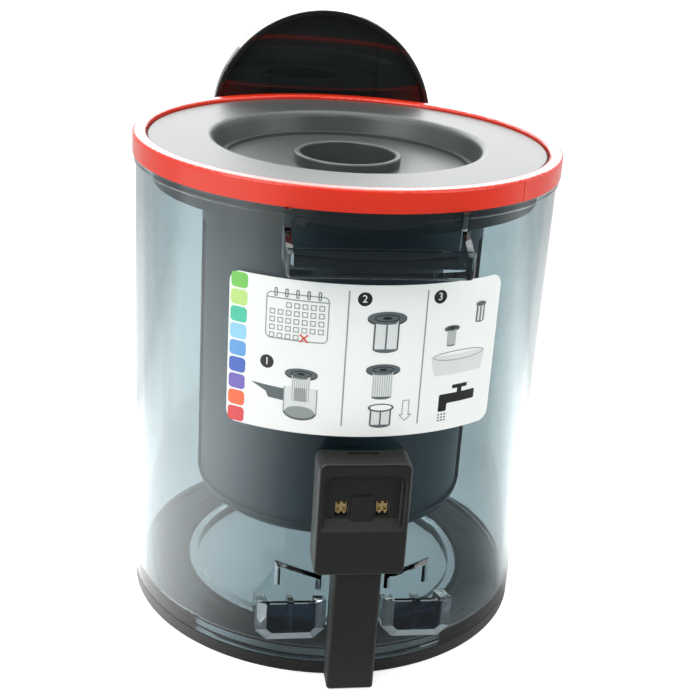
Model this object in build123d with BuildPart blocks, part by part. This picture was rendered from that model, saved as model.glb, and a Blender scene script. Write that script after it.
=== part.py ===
"""Cyclone dust bin of a cordless stick vacuum, in millimetres.

+Z is up, the origin is the middle of the floor that the bin stands on, and the contact side faces -Y.
A clear cup carries a rim ring, a front contact housing and a rear suction inlet with its non-return flap.
The lid with the pleated filter lifts out upwards, and the mesh cage hangs below it on a bayonet.
"""
import os
from math import asin, atan2, cos, degrees, pi, radians, sin, sqrt, tan

from build123d import *

# Clearances
slide_gap = 0.3  # moving pieces to what they pass
fit_gap = 0.1  # pieces that are clipped, screwed or glued together
pin_gap = 0.05  # flap knuckle round its pin

# Clear cup and rim ring
ring_radius = 58.0  # widest round of the bin
ring_skirt = 0.8  # wall of the ring where it laps over the cup
ring_lap = 1.1
ring_lip = 3.6  # width of the ring's top face
ring_ledge = 1.6  # thickness of the ledge that carries the lid gasket
ledge_width = 1.8
ring_edge_round = 0.7
ring_seam_turn = 40.6  # parting line in the ring's outer face, in degrees to the right of the front
ring_seam_width = 0.25
ring_seam_depth = 0.15
cup_wall = 2.3
cup_height = 129.6
band_width = 16.1  # dark band round the clear disc of the floor
band_height = 3.9
floor_round = 2.0
bead_depth = 0.5  # collar bead just below the ring
bead_height = 1.8

# Latch pocket on the front, just below the ring
pocket_half = 22.0
pocket_wall = 1.6
pocket_depth = 8.4  # how far it stands out from the cup
pocket_drop = 13.7  # its foot below the ring
pocket_ledge = 2.6  # thickness of its floor
pocket_front_height = 7.0
pocket_arm_height = 5.0  # side arms at their front end
pocket_arm_rise = 4.2  # climb of the arms towards the cup
pocket_rib_depth = 2.0  # ribs that go on from the arms up to the ring
pocket_round = 1.2

# Contact housing on the front
housing_half = 11.7
housing_bottom = 35.5
housing_height = 31.6
housing_depth = 7.6
housing_wall = 1.6
housing_corner = 2.0
housing_edge = 0.8
recess_land = 0.5  # flat rim of the front beside the recess
recess_drop = 3.1  # top of the recess below the top of the housing
recess_inset = 0.9  # second step of the recess inside the first
recess_step = 1.0
recess_depth = 2.4
recess_round = 3.0
recess_edge = 0.25
recess_web = 1.2  # wall behind the recess
ramp_rise = 12.6  # foot of the recess above the bottom of the housing
ramp_height = 2.6
key_half = 2.7
key_height = 7.0
key_proud = 0.6  # key in front of the floor of the recess
snap_slot_width = 8.0
snap_slot_depth = 0.8

# Foot hooks on the front, one at each side of the cable duct, with a guide frame above each
hook_inner = 7.4
hook_outer = 25.6
hook_drop = 9.0  # top of the hooks below the contact housing
hook_height = 11.5
hook_depth = 6.2
hook_corner = 3.0
hook_edge = 1.5  # bevel round the front of the hooks, on their sides
hook_bevel = 2.8  # the same bevel, on their front
hook_wall = 1.5
hook_slope = 21.0  # fall of the hooks behind their front wall, in degrees
frame_rib = 1.5
frame_depth = 1.6
frame_inner = 8.3
frame_outer = 20.4
frame_drop = 4.8  # low end of the frame below the contact housing
frame_rise = 2.9
frame_bevel = 0.7  # bevel of the frame's ribs, on their front
frame_bevel_depth = 1.3  # the same bevel, on their sides

# Electric contacts and wires
contact_pitch = 10.4
contact_rise = 18.0  # contact axis above the bottom of the housing
contact_slot_width = 3.4
contact_slot_height = 4.4
stem_half = 1.4
tine_width = 0.7
tine_pitch = 1.5
tine_rise = 2.0  # upper tines above the lower ones
tine_reach = 1.2
carrier_depth = 2.4
carrier_height = 11.0
tail_thickness = 0.5
wire_radius = 0.8
wire_offset = 3.7  # each wire from the middle plane
wire_bend = 2.4
wire_turn = 4.0  # bend from the ducts into the base channel
crimp_wall = 0.4
crimp_length = 4.0

# Cable ducts, front and rear, and the base ring that joins them
duct_half = 6.2
duct_depth = 6.6
duct_wall = 1.3
duct_round = 1.0
foot_half = 12.4
base_floor = 1.4
base_wall = 1.6
base_seam = 0.4  # shadow gap between the base ring and the cup

# Suction inlet at the back
inlet_drop = 37.0  # axis of the suction tube below the top of the ring
inlet_bore = 16.0
spigot_wall = 1.6
tube_bore = 17.5  # socket for the suction tube
tube_wall = 2.2
tube_reach = 40.0
block_margin = 2.2  # wall of the block outside the gasket
block_depth = 9.0
block_wall = 2.2
gasket_width = 1.8
gasket_squeeze = 0.8
pillar_radius = 3.0
pillar_gap = 0.8  # round the pillars in the corners of the block
screw_radius = 1.4
screw_grip = 6.0
screw_head_radius = 2.8
screw_head = 1.7
screw_slot = 0.9

# Flap in the inlet
flap_gap = 0.2
flap_plate = 1.4
flap_lap = 0.4
pin_radius = 0.75
knuckle_wall = 0.95
knuckle_half = 5.6
ear_width = 2.0
seat_proud = 0.2

# Tube contact box below the suction socket
tube_box_height = 21.6
tube_box_depth = 27.0
tube_box_wall = 1.6
tube_socket_depth = 12.0
tube_web = 2.0
tube_pin_radius = 1.25
tube_pin_reach = 9.0
tube_carrier_depth = 3.0

# Back plate behind the ring
plate_radius = 34.6
plate_drop = 9.2  # its centre below the top of the ring
plate_gap = 0.6  # behind the ring
plate_lip = 1.8
plate_dish = 2.6
plate_floor = 1.8
plate_panel_half = 17.0
plate_panel_inset = 4.0
plate_panel_depth = 0.6
plate_edge_round = 0.5
peg_radius = 1.4
peg_inset = 8.0
peg_turn = 55.0
flange_depth = 3.0

# Lid and outlet tube
lid_edge = 1.0  # thickness of the lid's rim over the gasket
lid_sunk = 1.0  # lid surface below the top of the ring
lid_gasket_height = 0.8
lid_wall = 2.0
skirt_drop = 11.0
skirt_wall = 1.6
lid_recess = 6.5
recess_flare = 3.0
lip_round = 2.4
foot_step = 0.9
foot_width = 1.4
outlet_bore = 13.0
outlet_wall = 1.6
outlet_rise = 2.7
outlet_drop = 6.0
outlet_round = 0.5
collar_wall = 1.8
collar_drop = 11.5
lug_reach = 1.5
lug_width = 8.0
lug_height = 3.0
lug_lift = 2.0
lug_count = 3

# Pleated filter
filter_gap = 1.2  # filter to the lid's collar
cap_height = 5.0
end_cap = 4.0
pleat_count = 48
pleat_paper = 0.5
pleat_gap = 0.6
core_wall = 1.2
core_slots = 8
core_slot_rows = 3
core_slot_width = 6.0

# Mesh cage
dust_gap = 15.8  # between the cup and the cage
dust_depth = 31.0  # below the cage
cage_wall = 3.2
cage_floor = 2.0
cage_round = 5.0
cage_rib_width = 6.7
cage_rib_turn = -9.0  # first rib, in degrees to the right of the front
cage_rib_count = 4
cage_twist = 20.0  # turn that frees the bayonet
cage_lift = 5.0  # filter above the cage's floor
window_sill = 4.5
window_head = 2.0
window_round = 3.0
mesh_thickness = 0.4
mesh_inset = 1.0

# Label on the front of the cup
label_turn = 36.0
label_gap_above = 4.0
label_gap_below = 3.9
label_film = 0.2
label_glue = 0.05
label_round = 3.0

# Places that several pieces share
cup_radius = ring_radius - ring_skirt - fit_gap
cup_bore = cup_radius - cup_wall
floor_radius = cup_radius - band_width
ring_bore = ring_radius - ring_lip
ring_bottom = cup_height - ring_lap
ledge_bore = ring_bore - ledge_width
ledge_top = cup_height + ring_ledge
lid_top = ledge_top + lid_gasket_height + lid_edge
ring_top = lid_top + lid_sunk
bead_top = ring_bottom - fit_gap
pocket_bottom = ring_bottom - pocket_drop
housing_front = cup_radius + housing_depth
housing_top = housing_bottom + housing_height
recess_half = housing_half - housing_edge - recess_land
recess_floor = housing_front - recess_depth
carrier_front = recess_floor - recess_web
carrier_back = carrier_front - carrier_depth
contact_height = housing_bottom + contact_rise
crimp_top = contact_height - carrier_height / 2
hook_top = housing_bottom - hook_drop
hook_bottom = hook_top - hook_height
duct_front = cup_radius + duct_depth
duct_inside = duct_front - duct_wall
duct_inner_half = duct_half - duct_wall
base_radius = cup_radius - fit_gap
base_bore = floor_radius + fit_gap
foot_top = band_height - base_seam
wire_y = (cup_radius + duct_inside) / 2
wire_z = (base_floor + band_height) / 2
wire_ring = (floor_radius + cup_radius) / 2
inlet_height = ring_top - inlet_drop
spigot_radius = inlet_bore + spigot_wall
seat_y = sqrt(cup_bore**2 - spigot_radius**2) - seat_proud
flap_back = seat_y - flap_gap
flap_front = flap_back - flap_plate
flap_radius = spigot_radius + flap_lap
knuckle_radius = pin_radius + pin_gap + knuckle_wall
pin_y = (flap_back + flap_front) / 2 + flap_lap
pin_z = inlet_height + spigot_radius + knuckle_radius + slide_gap
ear_inner = knuckle_half + slide_gap
ear_outer = ear_inner + ear_width
ear_top = pin_z + knuckle_radius
notch_half = ear_outer + slide_gap
notch_top = ear_top + slide_gap
gasket_bore = sqrt(notch_half**2 + (notch_top - inlet_height) ** 2) + slide_gap
gasket_radius = gasket_bore + gasket_width
block_half = gasket_radius + block_margin
block_back = cup_radius + block_depth
block_inside = block_back - block_wall
pillar_end = block_inside - fit_gap
block_round = block_wall + pillar_gap + pillar_radius
pillar_spread = block_half - block_round
block_top = inlet_height + block_half
tube_box_top = inlet_height - block_half + block_wall / 2
tube_box_bottom = tube_box_top - tube_box_height
tube_pin_height = (tube_box_bottom + tube_box_top) / 2
tube_box_back = cup_radius + tube_box_depth
tube_web_back = tube_box_back - tube_socket_depth
tube_web_front = tube_web_back - tube_web
plate_centre = ring_top - plate_drop
plate_front = ring_radius + plate_gap
plate_back = plate_front + plate_dish + plate_floor
plate_bottom = block_top + fit_gap
cage_radius = cup_bore - dust_gap
cage_bore = cage_radius - cage_wall
lid_radius = ring_bore - slide_gap
lid_under = lid_top - lid_wall
lid_floor = lid_top - lid_recess
lid_floor_under = lid_floor - lid_wall
skirt_radius = ledge_bore - slide_gap
collar_radius = cage_bore - slide_gap
collar_bore = collar_radius - collar_wall
collar_bottom = lid_floor_under - collar_drop
foot_radius = collar_radius - lid_wall
lip_radius = foot_radius + recess_flare
outlet_radius = outlet_bore + outlet_wall
lug_bottom = collar_bottom + lug_lift
cage_top = lid_floor_under - slide_gap
window_bottom = dust_depth + window_sill
window_top = collar_bottom - window_head
filter_radius = collar_bore - filter_gap
filter_top = lid_floor_under - cap_height
filter_bottom = dust_depth + cage_floor + cage_lift
core_bore = outlet_radius + fit_gap
core_radius = core_bore + core_wall
label_bottom = housing_top + label_gap_below
label_top = pocket_bottom - label_gap_above


def facing(angle):
    """Upright plane through the bin's axis, whose normal points outwards at this angle in degrees."""
    outwards = Vector(cos(radians(angle)), sin(radians(angle)), 0)
    across = Vector(-sin(radians(angle)), cos(radians(angle)), 0)
    return Plane(origin=(0, 0, 0), x_dir=across, z_dir=outwards)


def section_at(angle):
    """Upright plane through the bin's axis, whose x runs outwards at this angle in degrees."""
    return Plane(origin=(0, 0, 0), x_dir=facing(angle).z_dir, z_dir=-facing(angle).x_dir)


def finish(block, label):
    """Name a finished piece and write it to its own file."""
    block.part.label = label
    export_step(block.part, f"parts/{label}.step")


os.makedirs("parts", exist_ok=True)
front = facing(-90)
back = facing(90)
sides = (("left", -1), ("right", 1))
screw_places = [
    (x, inlet_height + z) for x in (-pillar_spread, pillar_spread) for z in (-pillar_spread, pillar_spread)
]

# Guide frames: raised ribs on the cup above each hook, open towards the hook, added to the cup below
frame_low = housing_bottom - frame_drop
with BuildPart() as guide_frames:
    for side_name, side in sides:
        with BuildSketch(front.offset(cup_radius + frame_depth)):
            with BuildLine():
                Polyline(
                    (side * frame_inner, hook_top),
                    (side * frame_outer, hook_top),
                    (side * frame_outer, frame_low + frame_rise),
                    (side * frame_inner, frame_low),
                    close=True,
                )
            make_face()
            offset(amount=-frame_rib, kind=Kind.INTERSECTION, mode=Mode.SUBTRACT)
            with Locations((side * (frame_inner + frame_outer) / 2, hook_top)):
                Rectangle(frame_outer - frame_inner - 2 * frame_rib, 2 * frame_rib, mode=Mode.SUBTRACT)
        extrude(amount=-cup_radius)
    with BuildSketch():
        Circle(cup_radius + frame_depth)
    extrude(amount=housing_top, mode=Mode.INTERSECT)
    for end in (0, -1):
        rib_face = guide_frames.faces().filter_by(GeomType.CYLINDER).sort_by(Axis.X)[end]
        chamfer(rib_face.edges(), frame_bevel, frame_bevel_depth, reference=rib_face)

# Foot hooks: clear blocks on the front of the cup, bevelled at their sides and foot, open at the top,
# with a rib in the middle
hook_front = cup_radius + hook_depth
fall_start = hook_front - hook_wall
well_width = (hook_outer - hook_inner - 3 * hook_wall) / 2 - hook_edge
for side_name, side in sides:
    with BuildPart() as hook_block:
        with BuildSketch(front.offset(hook_front)):
            with BuildLine():
                Polyline(
                    (side * hook_inner, hook_top),
                    (side * hook_inner, hook_bottom + hook_corner),
                    (side * (hook_inner + hook_corner), hook_bottom),
                    (side * (hook_outer - hook_corner), hook_bottom),
                    (side * hook_outer, hook_bottom + hook_corner),
                    (side * hook_outer, hook_top),
                    close=True,
                )
            make_face()
        extrude(amount=-hook_front)
        hook_face = hook_block.faces().sort_by(Axis.Y)[0]
        chamfer(hook_face.edges().sort_by(Axis.Z)[:-1], hook_bevel, hook_edge, reference=hook_face)
        with BuildSketch(front.offset(fall_start)):
            with Locations((side * (hook_inner + hook_outer) / 2, hook_bottom + hook_corner)):
                with GridLocations(well_width + hook_wall, 0, 2, 1):
                    Rectangle(well_width, hook_height, align=(Align.CENTER, Align.MIN))
        extrude(amount=-fall_start, mode=Mode.SUBTRACT)
        # Side walls and rib fall away behind the front wall
        with BuildSketch(Plane.YZ.offset(-hook_outer)):
            with BuildLine():
                Polyline(
                    (-fall_start, hook_top),
                    (0, hook_top),
                    (0, hook_top - fall_start * tan(radians(hook_slope))),
                    close=True,
                )
            make_face()
        extrude(amount=2 * hook_outer, mode=Mode.SUBTRACT)
        # Back, hollowed to sit on the cup
        with BuildSketch():
            Circle(cup_radius + fit_gap)
        extrude(amount=hook_top, mode=Mode.SUBTRACT)
    finish(hook_block, f"{side_name}_hook_block")

# Clear cup: one moulding with its latch pocket, guide frames and screw pillars
with BuildPart() as bin_shell:
    add(guide_frames.part)
    # Latch pocket: floor and front wall in one, then side arms that run up to the ring as ribs
    pocket_front = cup_radius + pocket_depth
    rib_front = sqrt(cup_radius**2 - (pocket_half - pocket_wall) ** 2) + pocket_rib_depth
    arm_top = pocket_bottom + pocket_arm_height
    with BuildSketch(Plane.YZ.offset(-pocket_half)):
        with BuildLine():
            Polyline(
                (0, pocket_bottom),
                (-pocket_front, pocket_bottom),
                (-pocket_front, pocket_bottom + pocket_front_height),
                (-pocket_front + pocket_wall, pocket_bottom + pocket_front_height),
                (-pocket_front + pocket_wall, pocket_bottom + pocket_ledge),
                (0, pocket_bottom + pocket_ledge),
                close=True,
            )
        make_face()
    extrude(amount=2 * pocket_half)
    for arm_start in (-pocket_half, pocket_half - pocket_wall):
        with BuildSketch(Plane.YZ.offset(arm_start)):
            with BuildLine():
                Polyline(
                    (0, pocket_bottom),
                    (-pocket_front, pocket_bottom),
                    (-pocket_front, arm_top),
                    (-rib_front, arm_top + pocket_arm_rise),
                    (-rib_front, bead_top),
                    (0, bead_top),
                    close=True,
                )
            make_face()
        extrude(amount=pocket_wall)
    foot_edges = bin_shell.edges().filter_by(Axis.Y)
    fillet(foot_edges.filter_by(lambda edge: abs(edge.center().Z - pocket_bottom) < fit_gap), pocket_round)
    fillet(bin_shell.edges().filter_by(Axis.Z).group_by(Axis.Y)[0], pocket_round)
    # Ribs that hold the contact carrier in its housing, and pillars for the inlet's screws
    with BuildSketch(front.offset(carrier_back - fit_gap)):
        with Locations((0, contact_height)):
            with GridLocations(2 * (housing_half - 2 * housing_wall), 0, 2, 1):
                Rectangle(housing_wall, carrier_height)
    extrude(amount=-cup_radius)
    with BuildSketch(back.offset(pillar_end)):
        with Locations(*screw_places):
            Circle(pillar_radius)
    extrude(amount=-pillar_end)
    # Cup wall and stepped floor
    with BuildSketch(section_at(0)):
        with BuildLine():
            Polyline(
                (0, 0),
                (floor_radius, 0),
                (floor_radius, band_height),
                (cup_radius, band_height),
                (cup_radius, bead_top - bead_height - bead_depth),
                (cup_radius + bead_depth, bead_top - bead_height),
                (cup_radius + bead_depth, bead_top),
                (cup_radius, bead_top),
                (cup_radius, cup_height),
                (0, cup_height),
                close=True,
            )
        make_face()
    revolve(axis=Axis.Z)
    with BuildSketch(section_at(0)) as cavity:
        with BuildLine():
            Polyline(
                (0, cup_wall),
                (floor_radius - cup_wall, cup_wall),
                (floor_radius - cup_wall, band_height + cup_wall),
                (cup_bore, band_height + cup_wall),
                (cup_bore, cup_height),
                (0, cup_height),
                close=True,
            )
        make_face()
        fillet(cavity.vertices().sort_by_distance((cup_bore, band_height + cup_wall, 0))[0], floor_round)
    revolve(axis=Axis.Z, mode=Mode.SUBTRACT)
    # Round inlet window with a notch for the flap's ears, and the screw holes
    with BuildSketch(back):
        with Locations((0, inlet_height)):
            Circle(spigot_radius + slide_gap)
            Rectangle(2 * notch_half, notch_top - inlet_height, align=(Align.CENTER, Align.MIN))
    extrude(amount=cup_radius, mode=Mode.SUBTRACT)
    with BuildSketch(back.offset(pillar_end)):
        with Locations(*screw_places):
            Circle(screw_radius + fit_gap / 2)
    extrude(amount=-screw_grip - fit_gap, mode=Mode.SUBTRACT)
finish(bin_shell, "bin_shell")

# Rim ring: snapped over the cup's rim, with a ledge inside for the lid gasket
with BuildPart() as rim_ring:
    with BuildSketch(section_at(0)) as ring_section:
        with BuildLine():
            Polyline(
                (ledge_bore, cup_height),
                (cup_radius + fit_gap, cup_height),
                (cup_radius + fit_gap, ring_bottom),
                (ring_radius, ring_bottom),
                (ring_radius, ring_top),
                (ring_bore, ring_top),
                (ring_bore, ledge_top),
                (ledge_bore, ledge_top),
                close=True,
            )
        make_face()
        fillet(ring_section.vertices().group_by(Axis.Y)[-1], ring_edge_round)
    revolve(axis=Axis.Z)
    with BuildSketch(facing(-90 + ring_seam_turn).offset(ring_radius)):
        with Locations((0, ring_top)):
            Rectangle(ring_seam_width, 2 * (ring_top - ring_bottom))
    extrude(amount=-ring_seam_depth, mode=Mode.SUBTRACT)
finish(rim_ring, "rim_ring")

# Base ring: open channel below the cup's floor that carries the two wires round to the back
with BuildPart() as base_ring:
    with BuildSketch(section_at(0)):
        with BuildLine():
            Polyline(
                (base_bore, 0),
                (base_radius, 0),
                (base_radius, foot_top),
                (base_radius - base_wall, foot_top),
                (base_radius - base_wall, base_floor),
                (base_bore + base_wall, base_floor),
                (base_bore + base_wall, band_height),
                (base_bore, band_height),
                close=True,
            )
        make_face()
    revolve(axis=Axis.Z)
    with BuildSketch():
        Circle(base_radius)
        Circle(base_radius - base_wall, mode=Mode.SUBTRACT)
        Rectangle(2 * (foot_half + fit_gap), 2 * base_radius, mode=Mode.INTERSECT)
    extrude(amount=band_height, mode=Mode.SUBTRACT)
finish(base_ring, "base_ring")

# Cable ducts: U-shaped covers on the cup, each with a foot that closes a gap in the base ring
for duct_name, outwards, duct_top in (
    ("front_cable_duct", front, housing_bottom),
    ("rear_cable_duct", back, tube_box_bottom),
):
    with BuildPart() as cable_duct:
        plan = Plane(origin=(0, 0, 0), x_dir=outwards.x_dir, z_dir=(0, 0, 1))
        with BuildSketch(plan) as strip:
            with Locations((0, -duct_front)):
                Rectangle(2 * duct_half, duct_depth + base_wall, align=(Align.CENTER, Align.MIN))
            fillet(strip.vertices().group_by(Axis.Y)[0], duct_round)
        extrude(amount=duct_top)
        fillet(cable_duct.edges().group_by(Axis.Z)[0], duct_round / 2)
        with BuildSketch(plan.offset(foot_top)):
            Circle(cup_radius + fit_gap)
        extrude(amount=duct_top, mode=Mode.SUBTRACT)
        with BuildSketch(plan):
            Circle(base_radius)
            Rectangle(2 * foot_half, base_radius, align=(Align.CENTER, Align.MAX), mode=Mode.INTERSECT)
        extrude(amount=foot_top)
        with BuildSketch(plan):
            Circle(base_radius - base_wall)
        extrude(amount=foot_top, mode=Mode.SUBTRACT)
        with BuildSketch(plan.offset(base_floor)):
            Rectangle(2 * duct_inner_half, duct_inside, align=(Align.CENTER, Align.MAX))
        extrude(amount=duct_top, mode=Mode.SUBTRACT)
    finish(cable_duct, duct_name)

# Contact housing: black box on the front of the cup with a stepped recess for the plug
with BuildPart() as contact_housing:
    with BuildSketch(front.offset(housing_front)):
        with Locations((0, housing_bottom)):
            Rectangle(2 * housing_half, housing_height, align=(Align.CENTER, Align.MIN))
    extrude(amount=-housing_front)
    fillet(contact_housing.edges().filter_by(Axis.Y), housing_corner)
    fillet(contact_housing.faces().sort_by(Axis.Y)[0].edges(), housing_edge)
    ramp_bottom = housing_bottom + ramp_rise
    ramp_top = ramp_bottom + ramp_height
    recess_top = housing_top - recess_drop
    for inset, start, end in ((0, 0, recess_step), (recess_inset, recess_step, recess_depth)):
        with BuildSketch(front.offset(housing_front - start)) as recess:
            with Locations((0, ramp_bottom)):
                height = recess_top - inset - ramp_bottom
                Rectangle(2 * (recess_half - inset), height, align=(Align.CENTER, Align.MIN))
            fillet(recess.vertices().group_by(Axis.Y)[-1], recess_round - inset)
        extrude(amount=start - end, mode=Mode.SUBTRACT)
        rim_edges = contact_housing.edges(Select.LAST).group_by(Axis.Y)[0]
        fillet(rim_edges.filter_by(lambda edge: edge.center().Z > ramp_bottom + recess_edge), recess_edge)
    with BuildSketch(Plane.YZ.offset(-recess_half)):
        with BuildLine():
            Polyline(
                (-housing_front, ramp_bottom),
                (-recess_floor, ramp_top),
                (-recess_floor, ramp_bottom),
                close=True,
            )
        make_face()
    extrude(amount=2 * recess_half)
    with BuildSketch(front.offset(recess_floor)):
        with Locations((0, contact_height)):
            RectangleRounded(2 * key_half, key_height, key_half / 4)
    extrude(amount=key_proud)
    with BuildSketch(front.offset(carrier_front)):
        with Locations((0, housing_bottom + housing_height / 2)):
            Rectangle(2 * (housing_half - housing_wall), housing_height - 2 * housing_wall)
        with Locations((0, housing_bottom)):
            Rectangle(2 * duct_inner_half, housing_height / 2, align=(Align.CENTER, Align.MIN))
    extrude(amount=-carrier_front, mode=Mode.SUBTRACT)
    with BuildSketch(front.offset(recess_floor)):
        with Locations((0, contact_height)):
            with GridLocations(contact_pitch, 0, 2, 1):
                Rectangle(contact_slot_width, contact_slot_height)
    extrude(amount=-recess_floor, mode=Mode.SUBTRACT)
    with BuildSketch(Plane.XY.offset(housing_top)):
        with Locations((0, -cup_radius - housing_wall)):
            Rectangle(snap_slot_width, snap_slot_depth)
    extrude(amount=-housing_wall / 2, mode=Mode.SUBTRACT)
    with BuildSketch():
        Circle(cup_radius + fit_gap)
    extrude(amount=housing_top, mode=Mode.SUBTRACT)
finish(contact_housing, "contact_housing")

# Contact carrier: insulating plate clamped between the housing and the cup's ribs
with BuildPart() as contact_carrier:
    with BuildSketch(front.offset(carrier_front)):
        with Locations((0, contact_height)):
            Rectangle(2 * (housing_half - housing_wall - fit_gap), carrier_height)
            with GridLocations(contact_pitch, 0, 2, 1):
                Rectangle(2 * (stem_half + fit_gap), 2 * (stem_half + fit_gap), mode=Mode.SUBTRACT)
    extrude(amount=-carrier_depth)
finish(contact_carrier, "contact_carrier")

# Front contacts: gilt stampings with four spring tines, a tail behind the carrier and a crimp barrel
for side_name, side in sides:
    with BuildPart() as contact:
        contact_x = side * contact_pitch / 2
        wire_x = side * wire_offset
        crimp_radius = wire_radius + fit_gap / 2
        with BuildSketch(front.offset(carrier_front)):
            with Locations((contact_x, contact_height)):
                Rectangle(2 * stem_half, 2 * stem_half)
        extrude(amount=-carrier_depth)
        with BuildSketch(front.offset(carrier_front)):
            with Locations((contact_x, contact_height)):
                with GridLocations(tine_pitch, tine_rise, 2, 2):
                    Rectangle(tine_width, tine_width)
        extrude(amount=tine_reach)
        for tip in contact.faces().group_by(Axis.Y)[0]:
            fillet(tip.edges(), tine_width / 3)
        with BuildSketch(front.offset(carrier_back)):
            with Locations((contact_x, crimp_top - crimp_length)):
                tail_top = contact_height + stem_half - crimp_top + crimp_length
                Rectangle(2 * stem_half, tail_top, align=(Align.CENTER, Align.MIN))
            with Locations((wire_x, crimp_top - crimp_length)):
                Rectangle(2 * crimp_radius, crimp_length, align=(Align.CENTER, Align.MIN))
        extrude(amount=-tail_thickness)
        with BuildSketch(Plane.XY.offset(crimp_top - crimp_length)):
            with Locations((wire_x, -wire_y)):
                Circle(crimp_radius + crimp_wall)
            with Locations((wire_x, -carrier_back + tail_thickness)):
                Rectangle(2 * crimp_radius, wire_y - carrier_back, align=(Align.CENTER, Align.MAX))
        extrude(amount=crimp_length)
        with BuildSketch(Plane.XY.offset(crimp_top - crimp_length)):
            with Locations((wire_x, -wire_y)):
                Circle(crimp_radius)
        extrude(amount=crimp_length, mode=Mode.SUBTRACT)
    finish(contact, f"{side_name}_front_contact")

# Wires: down the front duct, half way round the base channel and up the rear duct into a tube pin
for side_name, side in sides:
    with BuildPart() as wire:
        wire_x = side * wire_offset
        turn_x = side * (wire_offset + wire_turn)
        turn_y = sqrt((wire_ring + wire_turn) ** 2 - turn_x**2)
        touch = wire_ring / (wire_ring + wire_turn)
        turn_half = atan2(turn_y, abs(turn_x)) / 2
        mid_x = turn_x - side * wire_turn * cos(turn_half)
        mid_y = turn_y - wire_turn * sin(turn_half)
        cut = wire_bend * (1 - sqrt(0.5))
        cup_end = tube_web_front - tube_carrier_depth
        with BuildLine() as route:
            Line((wire_x, -wire_y, crimp_top), (wire_x, -wire_y, wire_z + wire_bend))
            ThreePointArc(
                (wire_x, -wire_y, wire_z + wire_bend),
                (wire_x, -wire_y + cut, wire_z + cut),
                (wire_x, -wire_y + wire_bend, wire_z),
            )
            Line((wire_x, -wire_y + wire_bend, wire_z), (wire_x, -turn_y, wire_z))
            ThreePointArc(
                (wire_x, -turn_y, wire_z), (mid_x, -mid_y, wire_z), (touch * turn_x, -touch * turn_y, wire_z)
            )
            ThreePointArc(
                (touch * turn_x, -touch * turn_y, wire_z),
                (side * wire_ring, 0, wire_z),
                (touch * turn_x, touch * turn_y, wire_z),
            )
            ThreePointArc(
                (touch * turn_x, touch * turn_y, wire_z), (mid_x, mid_y, wire_z), (wire_x, turn_y, wire_z)
            )
            Line((wire_x, turn_y, wire_z), (wire_x, wire_y - wire_bend, wire_z))
            ThreePointArc(
                (wire_x, wire_y - wire_bend, wire_z),
                (wire_x, wire_y - cut, wire_z + cut),
                (wire_x, wire_y, wire_z + wire_bend),
            )
            Line((wire_x, wire_y, wire_z + wire_bend), (wire_x, wire_y, tube_pin_height - wire_bend))
            ThreePointArc(
                (wire_x, wire_y, tube_pin_height - wire_bend),
                (wire_x, wire_y + cut, tube_pin_height - cut),
                (wire_x, wire_y + wire_bend, tube_pin_height),
            )
            Line((wire_x, wire_y + wire_bend, tube_pin_height), (wire_x, cup_end, tube_pin_height))
        with BuildSketch(Plane(origin=route.line @ 0, z_dir=route.line % 0)):
            Circle(wire_radius)
        sweep()
    finish(wire, f"{side_name}_wire")

# Inlet gasket: soft ring bent round the cup, squeezed between the cup and the inlet housing
with BuildPart() as inlet_gasket:
    with BuildSketch(back):
        with Locations((0, inlet_height)):
            Circle(gasket_radius)
            Circle(gasket_bore, mode=Mode.SUBTRACT)
    extrude(amount=cup_radius + gasket_squeeze)
    with BuildSketch():
        Circle(cup_radius + gasket_squeeze)
        Circle(cup_radius, mode=Mode.SUBTRACT)
    extrude(amount=ring_top, mode=Mode.INTERSECT)
finish(inlet_gasket, "inlet_gasket")

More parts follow.
